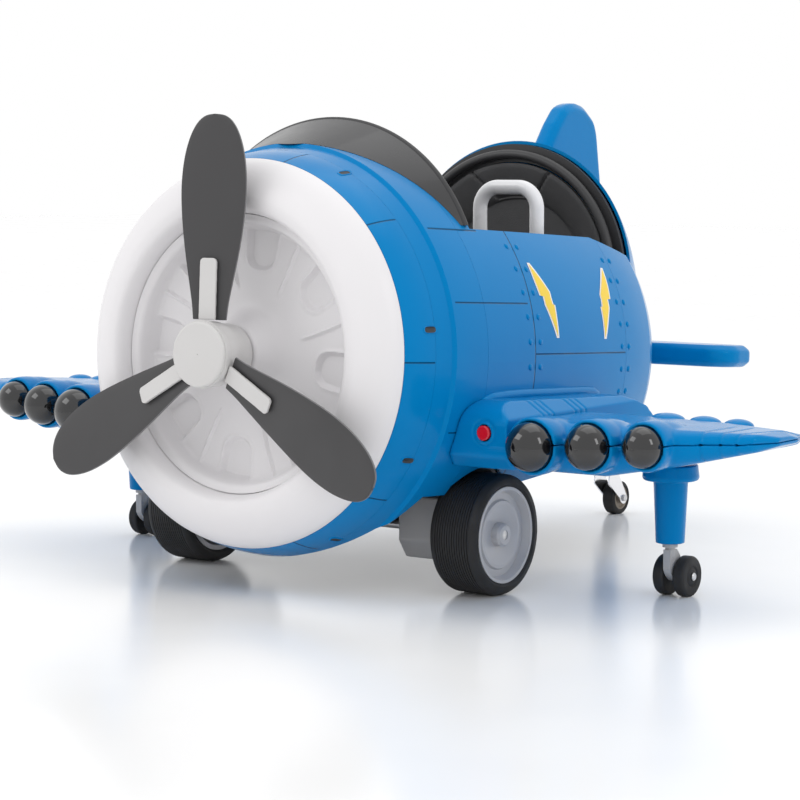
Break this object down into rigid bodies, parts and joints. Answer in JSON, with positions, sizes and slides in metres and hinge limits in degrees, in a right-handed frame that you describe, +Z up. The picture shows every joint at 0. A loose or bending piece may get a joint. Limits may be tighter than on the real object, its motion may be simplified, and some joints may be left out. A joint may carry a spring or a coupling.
{
  "type": "ride-on toy airplane",
  "caption": "Child's electric ride-on airplane with a round nose, free propeller, open cockpit, lever controls, stub wings, drive wheels and swivel casters.",
  "frame": {"origin": "centre of the footprint, on the floor under the wheels", "axes": "+Z up, +Y towards the tail so the propeller faces -Y, +X towards the toy's left wing tip"},
  "size_m": [1.268, 1.0126, 0.6196],
  "materials": {
    "blue_shell": "smooth gloss moulding",
    "white_nose": "smooth gloss moulding",
    "dark_blade": "satin moulding",
    "grey_hub": "satin moulding",
    "clear_grey_visor": "smoked satin moulding",
    "black_trim": "fine satin moulding",
    "black_dome": "high gloss moulding",
    "inner_plastic": "plain moulding",
    "seat_padding": "soft padded artificial leather",
    "webbing": "woven flat webbing",
    "silver_handle": "silver painted moulding",
    "red_button": "high gloss moulding",
    "light_grey": "satin moulding",
    "rim_grey": "silver grey moulding",
    "black_tyre": "fine ribbed tread",
    "caster_black": "smooth tread",
    "steel": "drawn bar",
    "chrome_steel": "bright plated sheet",
    "black_steel": "black powder coat",
    "motor_can": "zinc coloured can",
    "battery_case": "plain moulding",
    "caster_hub_grey": "plain moulding"
  },
  "bodies": {
    "airframe": {"nose_ring": "white_nose", "nose_dish": "white_nose", "cowl_front": "blue_shell", "cowl_rear": "blue_shell", "fuselage_left": "blue_shell", "fuselage_right": "blue_shell", "tail_shell": "blue_shell", "cockpit_tub": "inner_plastic", "belly_pan": "black_trim", "wheel_wells": "black_trim", "seat_cushion": "seat_padding", "seat_back": "seat_padding", "bulkhead_ring": "black_trim", "hoop_bead": "black_trim", "harness_straps": "webbing", "windscreen": "clear_grey_visor", "windscreen_trim": "black_trim", "dash_panel": "black_trim", "lever_pivots": "black_trim", "engine_domes": "black_dome", "left_wing_upper": "blue_shell", "left_wing_lower": "blue_shell", "right_wing_upper": "blue_shell", "right_wing_lower": "blue_shell", "left_wing_root": "blue_shell", "right_wing_root": "blue_shell", "wing_legs": "blue_shell", "drive_axle": "steel", "gearboxes": "light_grey", "drive_motors": "motor_can", "chassis": "black_steel", "battery": "battery_case", "fin": "blue_shell", "left_tailplane": "blue_shell", "right_tailplane": "blue_shell", "tail_leg": "blue_shell", "tail_caster_plate": "chrome_steel"},
    "propeller": {"prop_hub": "grey_hub", "prop_shaft": "steel", "prop_blades": "dark_blade", "blade_clips": "grey_hub"},
    "left_wheel": {"left_tyre": "black_tyre", "left_rim": "rim_grey"},
    "right_wheel": {"right_tyre": "black_tyre", "right_rim": "rim_grey"},
    "left_caster": {"left_caster_stem": "light_grey", "left_caster_axle": "steel"},
    "left_caster_roller": {"left_caster_wheels": "caster_black"},
    "right_caster": {"right_caster_stem": "light_grey", "right_caster_axle": "steel"},
    "right_caster_roller": {"right_caster_wheels": "caster_black"},
    "tail_caster": {"tail_caster_fork": "chrome_steel", "tail_caster_axle": "steel"},
    "tail_roller": {"tail_caster_tyre": "caster_black", "tail_caster_hub": "caster_hub_grey"},
    "left_control": {"left_lever": "silver_handle"},
    "right_control": {"right_lever": "silver_handle"},
    "left_horn": {"left_horn_button": "red_button"},
    "right_horn": {"right_horn_button": "red_button"},
    "power_rocker": {"power_switch": "red_button"}
  },
  "joints": [
    {"name": "propeller_spin", "type": "hinge", "parent": "airframe", "child": "propeller", "pos_m": [0, -0.48323, 0.30432], "axis": [0, 0.9985, -0.0541], "continuous": true},
    {"name": "left_wheel_spin", "type": "hinge", "parent": "airframe", "child": "left_wheel", "pos_m": [0.23, -0.227, 0.0756], "axis": [1, 0, 0], "continuous": true},
    {"name": "left_caster_swivel", "type": "hinge", "parent": "airframe", "child": "left_caster", "pos_m": [0.433, -0.119, 0.06], "axis": [0, 0, 1], "continuous": true},
    {"name": "left_caster_roll", "type": "hinge", "parent": "left_caster", "child": "left_caster_roller", "pos_m": [0.433, -0.101, 0.0254], "axis": [1, 0, 0], "continuous": true},
    {"name": "left_lever_tilt", "type": "hinge", "parent": "airframe", "child": "left_control", "pos_m": [0.132, -0.027, 0.235], "axis": [1, 0, 0], "range_deg": [-12, 12], "stiffness_Nm_per_rad": 2},
    {"name": "left_horn_press", "type": "slide", "parent": "airframe", "child": "left_horn", "axis": [0, 1, 0], "range_m": [0, 0.003], "stiffness_N_per_m": 300},
    {"name": "right_wheel_spin", "type": "hinge", "parent": "airframe", "child": "right_wheel", "pos_m": [-0.23, -0.227, 0.0756], "axis": [1, 0, 0], "continuous": true},
    {"name": "right_caster_swivel", "type": "hinge", "parent": "airframe", "child": "right_caster", "pos_m": [-0.433, -0.119, 0.06], "axis": [0, 0, 1], "continuous": true},
    {"name": "right_caster_roll", "type": "hinge", "parent": "right_caster", "child": "right_caster_roller", "pos_m": [-0.433, -0.101, 0.0254], "axis": [1, 0, 0], "continuous": true},
    {"name": "right_lever_tilt", "type": "hinge", "parent": "airframe", "child": "right_control", "pos_m": [-0.132, -0.027, 0.235], "axis": [1, 0, 0], "range_deg": [-12, 12], "stiffness_Nm_per_rad": 2},
    {"name": "right_horn_press", "type": "slide", "parent": "airframe", "child": "right_horn", "axis": [0, 1, 0], "range_m": [0, 0.003], "stiffness_N_per_m": 300},
    {"name": "tail_caster_swivel", "type": "hinge", "parent": "airframe", "child": "tail_caster", "pos_m": [0, 0.447, 0.06], "axis": [0, 0, 1], "continuous": true},
    {"name": "tail_caster_roll", "type": "hinge", "parent": "tail_caster", "child": "tail_roller", "pos_m": [0, 0.476, 0.025], "axis": [1, 0, 0], "continuous": true},
    {"name": "power_rocker_tilt", "type": "hinge", "parent": "airframe", "child": "power_rocker", "pos_m": [0, -0.24385, 0.40652], "axis": [1, 0, 0], "range_deg": [-8, 8]}
  ]
}
